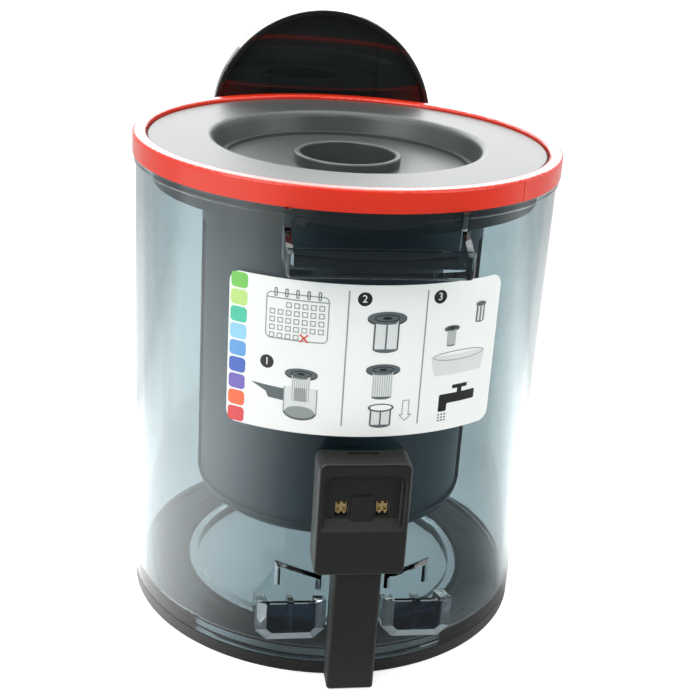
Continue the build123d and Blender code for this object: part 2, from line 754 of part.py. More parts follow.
# Inlet housing: hollow block screwed to the cup, with the tube socket, flap ears and tube contact box
with BuildPart() as inlet_housing:
    with BuildSketch(back.offset(block_back)):
        with Locations((0, inlet_height)):
            RectangleRounded(2 * block_half, 2 * block_half, block_round)
    extrude(amount=-block_back)
    with BuildSketch(back.offset(plate_back)):
        with Locations((0, plate_centre)):
            Circle(plate_radius - fit_gap)
        with Locations((0, block_top - block_wall)):
            above = (Align.CENTER, Align.MIN)
            Rectangle(2 * plate_radius, 2 * plate_radius, align=above, mode=Mode.INTERSECT)
    extrude(amount=flange_depth)
    with BuildSketch(back.offset(block_inside)):
        with Locations((0, inlet_height)):
            inside = 2 * (block_half - block_wall)
            RectangleRounded(inside, inside, block_round - block_wall)
            Circle(gasket_radius + fit_gap, mode=Mode.SUBTRACT)
            Circle(gasket_bore - fit_gap)
            Circle(spigot_radius, mode=Mode.SUBTRACT)
    extrude(amount=-block_inside, mode=Mode.SUBTRACT)
    with BuildSketch(back.offset(block_back)):
        with Locations((0, inlet_height)):
            Circle(tube_bore + tube_wall)
    extrude(amount=tube_reach)
    with BuildSketch(back.offset(tube_box_back)):
        with Locations((0, tube_box_bottom)):
            Rectangle(2 * housing_half, tube_box_height, align=(Align.CENTER, Align.MIN))
    extrude(amount=-tube_box_back)
    with BuildSketch(back.offset(tube_web_front)):
        with Locations((0, tube_pin_height)):
            Rectangle(2 * (housing_half - tube_box_wall), tube_box_height - 2 * tube_box_wall)
    extrude(amount=-tube_web_front, mode=Mode.SUBTRACT)
    with BuildSketch(back.offset(tube_box_back)):
        with Locations((0, tube_pin_height)):
            socket_width = 2 * (housing_half - tube_box_wall)
            RectangleRounded(socket_width, tube_box_height - 2 * tube_box_wall, housing_corner)
    extrude(amount=-tube_socket_depth, mode=Mode.SUBTRACT)
    with BuildSketch(back.offset(tube_web_back)):
        with Locations((0, tube_pin_height)):
            with GridLocations(2 * wire_offset, 0, 2, 1):
                Circle(tube_pin_radius + fit_gap)
    extrude(amount=-tube_web, mode=Mode.SUBTRACT)
    with BuildSketch(back.offset(duct_inside)):
        with Locations((0, tube_box_bottom)):
            Rectangle(2 * duct_inner_half, tube_box_height / 2, align=(Align.CENTER, Align.MIN))
    extrude(amount=-duct_inside, mode=Mode.SUBTRACT)
    with BuildSketch():
        Circle(cup_radius + fit_gap)
    extrude(amount=ring_top, mode=Mode.SUBTRACT)
    add(inlet_gasket.part, mode=Mode.SUBTRACT)
    # Spigot through the cup's window and the two ears that hold the flap's pin
    with BuildSketch(back.offset(seat_y)):
        with Locations((0, inlet_height)):
            Circle(spigot_radius)
    extrude(amount=block_inside - seat_y)
    ear_bottom = inlet_height + sqrt(flap_radius**2 - ear_inner**2) + slide_gap
    with BuildSketch(back.offset(pin_y - knuckle_radius)):
        with Locations((0, ear_bottom)):
            with GridLocations(ear_inner + ear_outer, 0, 2, 1):
                Rectangle(ear_width, ear_top - ear_bottom, align=(Align.CENTER, Align.MIN))
    extrude(amount=block_inside - pin_y + knuckle_radius)
    # Bores
    with BuildSketch(back):
        with Locations((0, inlet_height)):
            Circle(inlet_bore)
    extrude(amount=block_back, mode=Mode.SUBTRACT)
    with BuildSketch(back.offset(block_back)):
        with Locations((0, inlet_height)):
            Circle(tube_bore)
    extrude(amount=tube_reach, mode=Mode.SUBTRACT)
    with BuildSketch(back.offset(block_back)):
        with Locations(*screw_places):
            Circle(screw_radius + fit_gap)
    extrude(amount=-block_wall, mode=Mode.SUBTRACT)
    with BuildSketch(back.offset(plate_back)):
        with Locations((0, plate_centre)):
            for turn in (90 - peg_turn, 90, 90 + peg_turn):
                with PolarLocations(plate_radius - peg_inset, 1, turn):
                    Circle(peg_radius + fit_gap)
    extrude(amount=flange_depth, mode=Mode.SUBTRACT)
    with BuildSketch(Plane.YZ):
        with Locations((pin_y, pin_z)):
            Circle(pin_radius + fit_gap / 4)
    extrude(amount=ear_outer, both=True, mode=Mode.SUBTRACT)
finish(inlet_housing, "inlet_housing")

# Inlet screws: four pan heads with a cross slot, driven into the cup's pillars
with BuildPart() as inlet_screws:
    with BuildSketch(back.offset(block_back)):
        with Locations(*screw_places):
            Circle(screw_head_radius)
    extrude(amount=screw_head)
    fillet(inlet_screws.faces().group_by(Axis.Y)[-1].edges(), screw_head / 2)
    with BuildSketch(back.offset(block_back)):
        with Locations(*screw_places):
            Circle(screw_radius)
    extrude(amount=-(block_back - pillar_end) - screw_grip)
    with BuildSketch(back.offset(block_back + screw_head)):
        with Locations(*screw_places):
            Rectangle(screw_head_radius, screw_slot)
            Rectangle(screw_slot, screw_head_radius)
    extrude(amount=-screw_head / 2, mode=Mode.SUBTRACT)
finish(inlet_screws, "inlet_screws")

# Inlet flap: round plate inside the cup that hangs from a knuckle and falls shut on the spigot
with BuildPart() as inlet_flap:
    with BuildSketch(back.offset(flap_front)):
        with Locations((0, inlet_height)):
            Circle(flap_radius)
            Rectangle(2 * knuckle_half, pin_z - inlet_height, align=(Align.CENTER, Align.MIN))
    extrude(amount=flap_plate)
    with BuildSketch(Plane.YZ):
        with Locations((pin_y, pin_z)):
            Circle(knuckle_radius)
    extrude(amount=knuckle_half, both=True)
    with BuildSketch(Plane.YZ):
        with Locations((pin_y, pin_z)):
            Circle(pin_radius + pin_gap)
    extrude(amount=knuckle_half, both=True, mode=Mode.SUBTRACT)
finish(inlet_flap, "inlet_flap")

# Flap pin: steel pin pressed into the two ears
with BuildPart() as flap_pin:
    with BuildSketch(Plane.YZ):
        with Locations((pin_y, pin_z)):
            Circle(pin_radius)
    extrude(amount=ear_outer, both=True)
finish(flap_pin, "flap_pin")

# Tube contact carrier: insulating block behind the web of the tube contact box
with BuildPart() as tube_contact_carrier:
    with BuildSketch(back.offset(tube_web_front)):
        with Locations((0, tube_pin_height)):
            carrier_width = 2 * (housing_half - tube_box_wall - fit_gap)
            Rectangle(carrier_width, tube_box_height - 2 * (tube_box_wall + fit_gap))
            with GridLocations(2 * wire_offset, 0, 2, 1):
                Circle(tube_pin_radius, mode=Mode.SUBTRACT)
    extrude(amount=-tube_carrier_depth)
finish(tube_contact_carrier, "tube_contact_carrier")

# Tube pins: gilt pins with a round nose and a solder cup for the wire
for side_name, side in sides:
    with BuildPart() as tube_pin:
        pin_length = tube_pin_reach + tube_web + 2 * tube_carrier_depth
        with BuildSketch(back.offset(tube_web_back + tube_pin_reach)):
            with Locations((-side * wire_offset, tube_pin_height)):
                Circle(tube_pin_radius)
        extrude(amount=-pin_length)
        fillet(tube_pin.faces().sort_by(Axis.Y)[-1].edges(), tube_pin_radius / 2)
        with BuildSketch(back.offset(tube_web_back + tube_pin_reach - pin_length)):
            with Locations((-side * wire_offset, tube_pin_height)):
                Circle(wire_radius + fit_gap / 2)
        extrude(amount=tube_carrier_depth, mode=Mode.SUBTRACT)
    finish(tube_pin, f"{side_name}_tube_pin")

# Back plate: glossy half-moon trim behind the ring, pegged to the inlet housing's flange
with BuildPart() as back_plate:
    with BuildSketch(back.offset(plate_front)):
        with Locations((0, plate_centre)):
            Circle(plate_radius)
        with Locations((0, plate_bottom)):
            above = (Align.CENTER, Align.MIN)
            Rectangle(2 * plate_radius, 2 * plate_radius, align=above, mode=Mode.INTERSECT)
    extrude(amount=plate_dish + plate_floor)
    with BuildSketch(back.offset(plate_front)):
        with Locations((0, plate_centre)):
            Circle(plate_radius - plate_lip)
    extrude(amount=plate_dish, mode=Mode.SUBTRACT)
    rim_edges = back_plate.edges().filter_by(GeomType.CIRCLE).group_by(Axis.Y)[0]
    fillet(rim_edges, plate_edge_round)
    with BuildSketch(back.offset(plate_front + plate_dish)):
        with Locations((0, plate_centre)):
            Circle(plate_radius - plate_panel_inset)
            Rectangle(2 * plate_panel_half, 2 * plate_radius, mode=Mode.INTERSECT)
    extrude(amount=plate_panel_depth, mode=Mode.SUBTRACT)
    with BuildSketch(back.offset(plate_back)):
        with Locations((0, plate_centre)):
            for turn in (90 - peg_turn, 90, 90 + peg_turn):
                with PolarLocations(plate_radius - peg_inset, 1, turn):
                    Circle(peg_radius)
    extrude(amount=flange_depth)
finish(back_plate, "back_plate")

# Lid: dark moulding with a sunk middle, the outlet tube, a skirt and the cage's bayonet collar
with BuildPart() as filter_lid:
    with BuildSketch(section_at(0)) as lid_section:
        with BuildLine():
            Polyline(
                (outlet_bore, lid_floor_under - outlet_drop),
                (outlet_radius, lid_floor_under - outlet_drop),
                (outlet_radius, lid_floor_under),
                (collar_bore, lid_floor_under),
                (collar_bore, collar_bottom),
                (collar_radius, collar_bottom),
                (collar_radius, lid_floor_under),
                (lip_radius + lid_wall, lid_under),
                (skirt_radius - skirt_wall, lid_under),
                (skirt_radius - skirt_wall, lid_top - skirt_drop),
                (skirt_radius, lid_top - skirt_drop),
                (skirt_radius, lid_top - lid_edge),
                (lid_radius, lid_top - lid_edge),
                (lid_radius, lid_top),
                (lip_radius, lid_top),
                (foot_radius + foot_width, lid_floor + foot_step),
                (foot_radius, lid_floor + foot_step),
                (foot_radius, lid_floor),
                (outlet_radius, lid_floor),
                (outlet_radius, lid_floor + outlet_rise),
                (outlet_bore, lid_floor + outlet_rise),
                close=True,
            )
        make_face()
        fillet(lid_section.vertices().sort_by_distance((lip_radius, lid_top, 0))[0], lip_round)
        fillet(lid_section.vertices().sort_by_distance((lid_radius, lid_top, 0))[0], lid_edge / 2)
        outlet_rim = lid_section.vertices().sort_by_distance((outlet_bore, lid_floor + outlet_rise, 0))[:2]
        fillet(outlet_rim, outlet_round)
    revolve(axis=Axis.Z)
    with Locations((0, 0, lug_bottom + lug_height / 2)):
        with PolarLocations(collar_radius, lug_count, 90):
            Box(2 * lug_reach, lug_width, lug_height)
finish(filter_lid, "filter_lid")

# Lid gasket: flat rubber ring under the lid's edge
with BuildPart() as lid_gasket:
    with BuildSketch(Plane.XY.offset(ledge_top)):
        Circle(lid_radius - fit_gap)
        Circle(ledge_bore + fit_gap, mode=Mode.SUBTRACT)
    extrude(amount=lid_gasket_height)
finish(lid_gasket, "lid_gasket")

# Filter top cap: soft foam ring pushed onto the outlet tube
with BuildPart() as filter_top_cap:
    with BuildSketch(Plane.XY.offset(filter_top)):
        Circle(filter_radius)
        Circle(core_bore, mode=Mode.SUBTRACT)
    extrude(amount=cap_height)
finish(filter_top_cap, "filter_top_cap")

# Filter core: slotted tube that keeps the pleats from collapsing inwards
with BuildPart() as filter_core:
    core_height = filter_top - filter_bottom - end_cap
    slot_pitch = core_height / core_slot_rows
    with BuildSketch(Plane.XY.offset(filter_bottom + end_cap)):
        Circle(core_radius)
        Circle(core_bore, mode=Mode.SUBTRACT)
    extrude(amount=core_height)
    for k in range(core_slots):
        with BuildSketch(facing(k * 360 / core_slots)):
            with Locations((0, filter_bottom + end_cap + core_height / 2)):
                with GridLocations(0, slot_pitch, 1, core_slot_rows):
                    RectangleRounded(core_slot_width, slot_pitch - core_slot_width, core_slot_width / 3)
        extrude(amount=core_radius, mode=Mode.SUBTRACT)
finish(filter_core, "filter_core")

# Filter pleats: one folded band of filter paper
with BuildPart() as filter_pleats:
    pleat_bore = core_radius + pleat_gap
    pleat_radius = filter_radius - pleat_gap
    half_pitch = pi * (pleat_bore + pleat_radius) / 2 / pleat_count
    shift = pleat_paper / sin(atan2(half_pitch, pleat_radius - pleat_bore))
    with BuildSketch(Plane.XY.offset(filter_bottom + end_cap)):
        for crest, valley, mode in (
            (pleat_radius, pleat_bore + shift, Mode.ADD),
            (pleat_radius - shift, pleat_bore, Mode.SUBTRACT),
        ):
            folds = []
            for k in range(pleat_count):
                crest_turn = 2 * pi * k / pleat_count
                valley_turn = crest_turn + pi / pleat_count
                folds.append((crest * cos(crest_turn), crest * sin(crest_turn)))
                folds.append((valley * cos(valley_turn), valley * sin(valley_turn)))
            with BuildLine():
                Polyline(*folds, close=True)
            make_face(mode=mode)
    extrude(amount=core_height)
finish(filter_pleats, "filter_pleats")

# Filter end cap: closed disc below the pleats
with BuildPart() as filter_end_cap:
    with BuildSketch(Plane.XY.offset(filter_bottom)):
        Circle(filter_radius)
    extrude(amount=end_cap)
    fillet(filter_end_cap.edges().group_by(Axis.Z)[0], end_cap / 4)
finish(filter_end_cap, "filter_end_cap")

# Cage frame: cup-shaped moulding with four windows, and bayonet grooves inside its top ring
rib_half_turn = degrees(asin(cage_rib_width / 2 / cage_radius))
window_half_turn = 180 / cage_rib_count - rib_half_turn
window_width = 2 * cage_radius * sin(radians(window_half_turn))
window_turns = [-90 + cage_rib_turn + (k + 0.5) * 360 / cage_rib_count for k in range(cage_rib_count)]
lug_half_turn = degrees(asin((lug_width / 2 + slide_gap) / collar_radius))
groove_radius = collar_radius + lug_reach + slide_gap
with BuildPart() as cage_frame:
    with BuildSketch(section_at(0)) as cage_section:
        with BuildLine():
            Polyline(
                (0, dust_depth),
                (cage_radius, dust_depth),
                (cage_radius, cage_top),
                (cage_bore, cage_top),
                (cage_bore, dust_depth + cage_floor),
                (0, dust_depth + cage_floor),
                close=True,
            )
        make_face()
        fillet(cage_section.vertices().sort_by_distance((cage_radius, dust_depth, 0))[0], cage_round)
        inner_corner = cage_section.vertices().sort_by_distance((cage_bore, dust_depth + cage_floor, 0))[0]
        fillet(inner_corner, cage_round - cage_floor)
    revolve(axis=Axis.Z)
    for turn in window_turns:
        with BuildSketch(facing(turn).offset(cage_bore / 2)):
            with Locations((0, (window_bottom + window_top) / 2)):
                RectangleRounded(window_width, window_top - window_bottom, window_round)
        extrude(amount=cage_radius, mode=Mode.SUBTRACT)
    for k in range(lug_count):
        start = 90 + k * 360 / lug_count - cage_twist - lug_half_turn
        for arc, top in (
            (2 * lug_half_turn + cage_twist, lug_bottom + lug_height + slide_gap),
            (2 * lug_half_turn, cage_top),
        ):
            with BuildSketch(section_at(start)):
                with Locations((collar_radius, lug_bottom - slide_gap)):
                    depth = groove_radius - collar_radius
                    Rectangle(depth, top - lug_bottom + slide_gap, align=(Align.MIN, Align.MIN))
            revolve(axis=Axis.Z, revolution_arc=arc, mode=Mode.SUBTRACT)
finish(cage_frame, "cage_frame")

# Cage mesh: fine mesh panels moulded into the frame's windows
with BuildPart() as cage_mesh:
    for turn in window_turns:
        with BuildSketch(facing(turn).offset(cage_bore / 2)):
            with Locations((0, (window_bottom + window_top) / 2)):
                RectangleRounded(window_width, window_top - window_bottom, window_round)
        extrude(amount=cage_radius)
    with BuildSketch(Plane.XY.offset(dust_depth)):
        Circle(cage_radius - mesh_inset)
        Circle(cage_radius - mesh_inset - mesh_thickness, mode=Mode.SUBTRACT)
    extrude(amount=cage_top - dust_depth, mode=Mode.INTERSECT)
finish(cage_mesh, "cage_mesh")

# Label: printed film on the front of the cup
with BuildPart() as label:
    with BuildSketch(section_at(-90 - label_turn)):
        with Locations((cup_radius + label_glue, label_bottom)):
            Rectangle(label_film, label_top - label_bottom, align=(Align.MIN, Align.MIN))
    revolve(axis=Axis.Z, revolution_arc=2 * label_turn)
    corners = label.edges().filter_by(lambda edge: edge.length < 2 * label_film)
    fillet(corners, label_round)
finish(label, "label")
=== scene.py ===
from math import asin, cos, pi, radians, sin

import bmesh
import bpy
from mathutils import Matrix, Vector


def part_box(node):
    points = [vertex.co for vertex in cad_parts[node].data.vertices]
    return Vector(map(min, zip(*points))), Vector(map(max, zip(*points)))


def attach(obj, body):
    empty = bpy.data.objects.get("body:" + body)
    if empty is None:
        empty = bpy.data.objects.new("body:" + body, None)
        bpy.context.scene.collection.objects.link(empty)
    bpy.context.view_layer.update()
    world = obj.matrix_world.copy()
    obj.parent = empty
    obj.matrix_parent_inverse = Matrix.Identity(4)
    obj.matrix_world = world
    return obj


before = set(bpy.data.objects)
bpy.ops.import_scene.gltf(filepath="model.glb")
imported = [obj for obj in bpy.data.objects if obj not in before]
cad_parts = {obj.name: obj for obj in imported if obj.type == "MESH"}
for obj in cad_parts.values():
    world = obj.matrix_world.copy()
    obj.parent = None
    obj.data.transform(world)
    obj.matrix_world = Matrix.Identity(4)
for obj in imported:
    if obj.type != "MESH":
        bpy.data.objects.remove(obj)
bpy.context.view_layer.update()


# Clear cup
# The bin itself: one injection moulding of smoke-blue SAN with its latch pocket and guide frames, polished
# inside and out. Every other piece is fixed to it or hangs in it.
def colour(hex_code):
    """sRGB hex code as linear red, green, blue and alpha."""
    parts = [int(hex_code[i : i + 2], 16) / 255 for i in (1, 3, 5)]
    return [p / 12.92 if p <= 0.04045 else ((p + 0.055) / 1.055) ** 2.4 for p in parts] + [1.0]


def node(tree, kind, sockets, **settings):
    """Add a node: settings are its properties, sockets its values or the outputs linked to them."""
    added = tree.nodes.new("ShaderNode" + kind)
    for name, value in settings.items():
        setattr(added, name, value)
    for name, value in sockets.items():
        if isinstance(value, bpy.types.NodeSocket):
            tree.links.new(value, added.inputs[name])
        else:
            added.inputs[name].default_value = value
    return added


def ramp(tree, value, start, end, low=0.0, high=1.0, **settings):
    """From low to high while the value goes from start to end, and level beyond."""
    limits = {"From Min": start, "From Max": end, "To Min": low, "To Max": high}
    return node(tree, "MapRange", {"Value": value, **limits}, **settings).outputs["Result"]


def surface(name, **sockets):
    """New material with one Principled shader, and its tree, shader and Object coordinates."""
    material = bpy.data.materials.new(name)
    material.use_nodes = True
    tree = material.node_tree
    shader = tree.nodes["Principled BSDF"]
    place = node(tree, "TexCoord", {}).outputs["Object"]
    for socket, value in sockets.items():
        shader.inputs[socket.replace("_", " ")].default_value = value
    return material, tree, shader, place


def dress(material, *names):
    """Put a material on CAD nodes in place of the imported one."""
    for name in names:
        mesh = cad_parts[name].data
        mesh.materials.clear()
        mesh.materials.append(material)


def clear_san(name):
    """Smoke-tinted SAN: IOR 1.57, mirror polish, faint flow waves from the moulding and a light haze."""
    tint = colour("#B7C5C9")
    haze = 0.004
    flow_mm = 18.0
    material, tree, shader, place = surface(name, IOR=1.57, Transmission_Weight=1.0, Base_Color=tint)
    waves = node(tree, "TexNoise", {"Vector": place, "Scale": 1000 / flow_mm, "Detail": 1.0})
    wear = node(tree, "TexNoise", {"Vector": place, "Scale": 4000 / flow_mm, "Detail": 2.0})
    rough = ramp(tree, wear.outputs["Fac"], 0.4, 0.75, 0.0, haze)
    bump = node(tree, "Bump", {"Height": waves.outputs["Fac"], "Strength": 0.1, "Distance": 0.0002})
    tree.links.new(rough, shader.inputs["Roughness"])
    tree.links.new(bump.outputs["Normal"], shader.inputs["Normal"])
    # Lamps shine through the walls instead of being stopped by them
    lamp_light = node(tree, "BsdfTransparent", {"Color": tint})
    shadow_ray = node(tree, "LightPath", {}).outputs["Is Shadow Ray"]
    mixed = node(tree, "MixShader", {0: shadow_ray, 1: shader.outputs[0], 2: lamp_light.outputs[0]})
    tree.links.new(mixed.outputs[0], tree.nodes["Material Output"].inputs["Surface"])
    return material


dress(clear_san("smoke_blue_san"), "bin_shell")


# Foot hooks
# Clear blocks on the front of the cup, of the same SAN. Their thick fronts are painted darker than the wall,
# as painted shade, and their bevels, most of all at the foot, paler and less clear, as a painted highlight.
def maths(tree, operation, *values):
    """Result of a Math node on these values."""
    return node(tree, "Math", dict(enumerate(values)), operation=operation).outputs[0]


hook_san = clear_san("smoke_blue_san_painted_shade")
tree = hook_san.node_tree
shader = tree.nodes["Principled BSDF"]
facing = node(tree, "SeparateXYZ", {0: node(tree, "TexCoord", {}).outputs["Normal"]}).outputs
bevel_lean = radians(28)
# Painted shade and highlight by the way a face points: dark blue on the fronts, pale on the sides and bevels
painted_front_shade = colour("#2A4458")
painted_edge_highlight = colour("#C4D0D3")
off_front = ramp(tree, facing["Y"], -0.98, -0.84)
painted_shade_and_highlight = node(tree, "Mix", {0: off_front, 6: painted_front_shade, 7: painted_edge_highlight}, data_type="RGBA")
# Painted highlight: the bevels, most of all at the foot, are made less clear so that their pale colour shows
on_bevel = maths(tree, "COMPARE", facing["Y"], -cos(bevel_lean), 0.05)
painted_highlight_at_foot = ramp(tree, facing["Z"], -sin(bevel_lean), 0.0, 0.45, 0.1)
clear = maths(tree, "SUBTRACT", 1.0, maths(tree, "MULTIPLY", on_bevel, painted_highlight_at_foot))
tree.links.new(painted_shade_and_highlight.outputs[2], shader.inputs["Base Color"])
tree.links.new(clear, shader.inputs["Transmission Weight"])
dress(hook_san, "left_hook_block", "right_hook_block")


# Rim ring
# Red gloss ABS ring snapped over the cup's rim. The mould leaves a faint orange peel.
def moulded(name, base, rough, grain_mm, depth_mm, tone=0.12, **sockets):
    """Injection-moulded plastic: mottled tone, uneven sheen and the grain of the mould's surface."""
    material, tree, shader, place = surface(name, IOR=1.53, **sockets)
    # Blotches about 8 mm across
    blotch = node(tree, "TexNoise", {"Vector": place, "Scale": 120.0, "Detail": 4.0})
    grain = node(tree, "TexNoise", {"Vector": place, "Scale": 1000 / grain_mm, "Detail": 3.0})
    body = colour(base)[:3]
    dark = [c * (1 - tone) for c in body] + [1.0]
    light = [min(1.0, c * (1 + tone)) for c in body] + [1.0]
    tint = node(tree, "Mix", {0: blotch.outputs["Fac"], 6: dark, 7: light}, data_type="RGBA")
    sheen = ramp(tree, grain.outputs["Fac"], 0.3, 0.7, rough * 0.85, rough * 1.15)
    bump = node(tree, "Bump", {"Height": grain.outputs["Fac"], "Strength": 0.3, "Distance": depth_mm / 1000})
    tree.links.new(tint.outputs[2], shader.inputs["Base Color"])
    tree.links.new(sheen, shader.inputs["Roughness"])
    tree.links.new(bump.outputs["Normal"], shader.inputs["Normal"])
    return material


dress(moulded("red_gloss_abs", "#D32D14", 0.2, 1.6, 0.02, tone=0.04), "rim_ring")

# Base ring, cable ducts and contact housing
# Black ABS mouldings with a fine spark-eroded grain, clipped and glued to the cup.
black_abs = moulded("black_grained_abs", "#0B0E09", 0.4, 0.4, 0.0015, Sheen_Weight=0.12)
dress(black_abs, "base_ring", "front_cable_duct", "rear_cable_duct", "contact_housing")

# Contacts and wires
# Gilt brass stampings and pins in plain black carriers, joined by thin sheathed wires.
carrier_pbt = moulded("black_pbt", "#1B1C1C", 0.5, 0.9, 0.04)
dress(carrier_pbt, "contact_carrier", "tube_contact_carrier")
wire_pvc = moulded("black_pvc_sheath", "#17181A", 0.42, 1.2, 0.03)
dress(wire_pvc, "left_wire", "right_wire")


def plated(name, base, rough, streak_mm):
    """Plated metal: full metallic, with fine drawing streaks that vary its roughness."""
    material, tree, shader, place = surface(name, Metallic=1.0, Base_Color=colour(base))
    streaks = node(tree, "TexNoise", {"Vector": place, "Scale": 1000 / streak_mm, "Detail": 4.0})
    sheen = ramp(tree, streaks.outputs["Fac"], 0.0, 1.0, rough * 0.6, rough * 1.4)
    bump = node(tree, "Bump", {"Height": streaks.outputs["Fac"], "Strength": 0.2, "Distance": 0.00002})
    tree.links.new(sheen, shader.inputs["Roughness"])
    tree.links.new(bump.outputs["Normal"], shader.inputs["Normal"])
    return material


dress(
    plated("gilt_brass", "#F2D9A0", 0.28, 0.5),
    "left_front_contact",
    "right_front_contact",
    "left_tube_pin",
    "right_tube_pin",
)

# Inlet
# Black ABS housing with the tube socket, held to the cup by four plated screws, and a PBT flap on a steel
# pin inside it.
dress(black_abs, "inlet_housing")
dress(carrier_pbt, "inlet_flap")
dress(plated("zinc_plated_steel", "#BFC2C4", 0.3, 0.5), "inlet_screws", "flap_pin")

# Gaskets
# Soft black rubber rings, matt from the mould.
dress(moulded("moulded_rubber", "#151515", 0.75, 0.8, 0.05), "inlet_gasket", "lid_gasket")

# Back plate
# Piano-black ABS half-moon behind the ring, polished to a mirror.
dress(moulded("piano_black_abs", "#121616", 0.04, 9.0, 0.01), "back_plate")

# Filter
# Pleated paper band round a slotted tube, cast into soft polyurethane caps.
dress(moulded("cast_polyurethane", "#3A3D40", 0.7, 1.0, 0.08), "filter_top_cap", "filter_end_cap")
dress(moulded("natural_polypropylene", "#D2D1C9", 0.4, 1.0, 0.03), "filter_core")
dress(moulded("filter_paper", "#E9E7DC", 0.9, 0.5, 0.08), "filter_pleats")

# Lid
# Dark grey ABS lid with a fine satin grain, a sunk middle and the outlet tube.
dress(moulded("dark_grey_abs", "#3E4443", 0.38, 0.5, 0.006, tone=0.05), "filter_lid")

# Cage
# Satin polypropylene basket with fine mesh panels moulded into its windows.
dress(moulded("slate_polypropylene", "#2E4F59", 0.36, 0.35, 0.001), "cage_frame")


def woven(name, base, rough, pitch_mm):
    """Fine square weave on the upright cylinder: threads round it and along it."""
    material, tree, shader, place = surface(name, IOR=1.53, Roughness=rough)
    axes = node(tree, "SeparateXYZ", {0: place}).outputs
    turn = maths(tree, "ARCTAN2", axes["Y"], axes["X"])
    round_m = maths(tree, "MULTIPLY", turn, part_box("cage_mesh")[1].x)
    flat = node(tree, "CombineXYZ", {"X": round_m, "Y": axes["Z"]}).outputs[0]
    # A wave texture's bands repeat every pi / 10 at scale 1
    spacing = {"Vector": flat, "Scale": 100 * pi / pitch_mm}
    threads = [node(tree, "TexWave", spacing, bands_direction=way).outputs["Fac"] for way in "XY"]
    weave = maths(tree, "MAXIMUM", *threads)
    gap_tint = [c * 0.7 for c in colour(base)[:3]] + [1.0]
    tint = node(tree, "Mix", {0: weave, 6: gap_tint, 7: colour(base)}, data_type="RGBA")
    bump = node(tree, "Bump", {"Height": weave, "Strength": 0.2, "Distance": 0.00001})
    tree.links.new(tint.outputs[2], shader.inputs["Base Color"])
    tree.links.new(bump.outputs["Normal"], shader.inputs["Normal"])
    return material


# Threads 0.6 mm apart, coarser than the real 0.2 mm, so that the weave can be seen
dress(woven("slate_nylon_mesh", "#3A5B65", 0.5, 0.6), "cage_mesh")

# Label
# White polypropylene film glued to the front of the cup, with rounded corners and a matt varnish.
dress(moulded("white_label_film", "#E6EAE8", 0.42, 2.0, 0.01, tone=0.02), "label")

# Label print
# Inks on the film: colour tiles down its left edge and three columns of plain cleaning signs.
# Each sign is drawn flat, in millimetres from the label's middle, given a skin and bent round the cup.
label_low, label_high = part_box("label")
film_radius = -label_low.y * 1000
label_middle = (label_low.z + label_high.z) * 500
label_half = (label_high.z - label_low.z) * 500
label_reach = film_radius * asin(label_high.x * 1000 / film_radius)
ink_skin = 0.03
ink_lift = 0.01
bend_step = 1.0


def ink(name, base):
    """Screen-printed ink: satin, with the slight mottle of a printed solid."""
    return moulded(name, base, 0.4, 0.8, 0.01, tone=0.06)


black_ink = ink("black_ink", "#1B1D1E")
grey_ink = ink("grey_ink", "#566264")
line_ink = ink("line_ink", "#8B9492")
pale_ink = ink("pale_ink", "#D0D6D6")
white_ink = ink("white_ink", "#E9ECEA")
red_ink = ink("red_ink", "#D4503A")


def patch(points, corner=0.0):
    """Flat shape with this outline and rounded corners."""
    shape = bmesh.new()
    shape.faces.new([shape.verts.new((u, v, 0)) for u, v in points])
    shape.normal_update()
    if corner:
        bmesh.ops.bevel(
            shape,
            geom=shape.verts[:],
            offset=corner,
            affect="VERTICES",
            segments=5,
            profile=0.5,
            material=-1,
        )
    return shape


def block(u, v, width, height, corner=0.0):
    """Flat rectangle about a point."""
    right, top = u + width / 2, v + height / 2
    left, bottom = u - width / 2, v - height / 2
    return patch([(left, bottom), (right, bottom), (right, top), (left, top)], corner)


def oval(u, v, width, height):
    """Flat ellipse about a point."""
    shape = bmesh.new()
    bmesh.ops.create_circle(shape, cap_ends=True, segments=40, radius=0.5)
    bmesh.ops.scale(shape, verts=shape.verts, vec=(width, height, 1))
    bmesh.ops.translate(shape, verts=shape.verts, vec=(u, v, 0))
    return shape


def bar(start, end, width):
    """Straight line of this width."""
    run = Vector(end) - Vector(start)
    across = run.normalized().orthogonal() * width / 2
    corners = [Vector(start) - across, Vector(end) - across, Vector(end) + across, Vector(start) + across]
    return patch([tuple(c) for c in corners])


def line_of(shape, width):
    """Only the outline of a shape."""
    inside = shape.faces[:]
    bmesh.ops.inset_region(shape, faces=inside, thickness=width, use_boundary=True, use_even_offset=True)
    bmesh.ops.delete(shape, geom=inside, context="FACES")
    return shape


def numeral(digit, u, v, height):
    """A digit in the plain built-in face."""
    text = bpy.data.curves.new("numeral", "FONT")
    text.body = digit
    text.size = height
    text.align_x = "CENTER"
    text.align_y = "CENTER"
    written = bpy.data.objects.new("numeral", text)
    bpy.context.scene.collection.objects.link(written)
    mesh = bpy.data.meshes.new_from_object(written.evaluated_get(bpy.context.evaluated_depsgraph_get()))
    shape = bmesh.new()
    shape.from_mesh(mesh)
    bmesh.ops.translate(shape, verts=shape.verts, vec=(u, v, 0))
    bpy.data.objects.remove(written)
    return shape


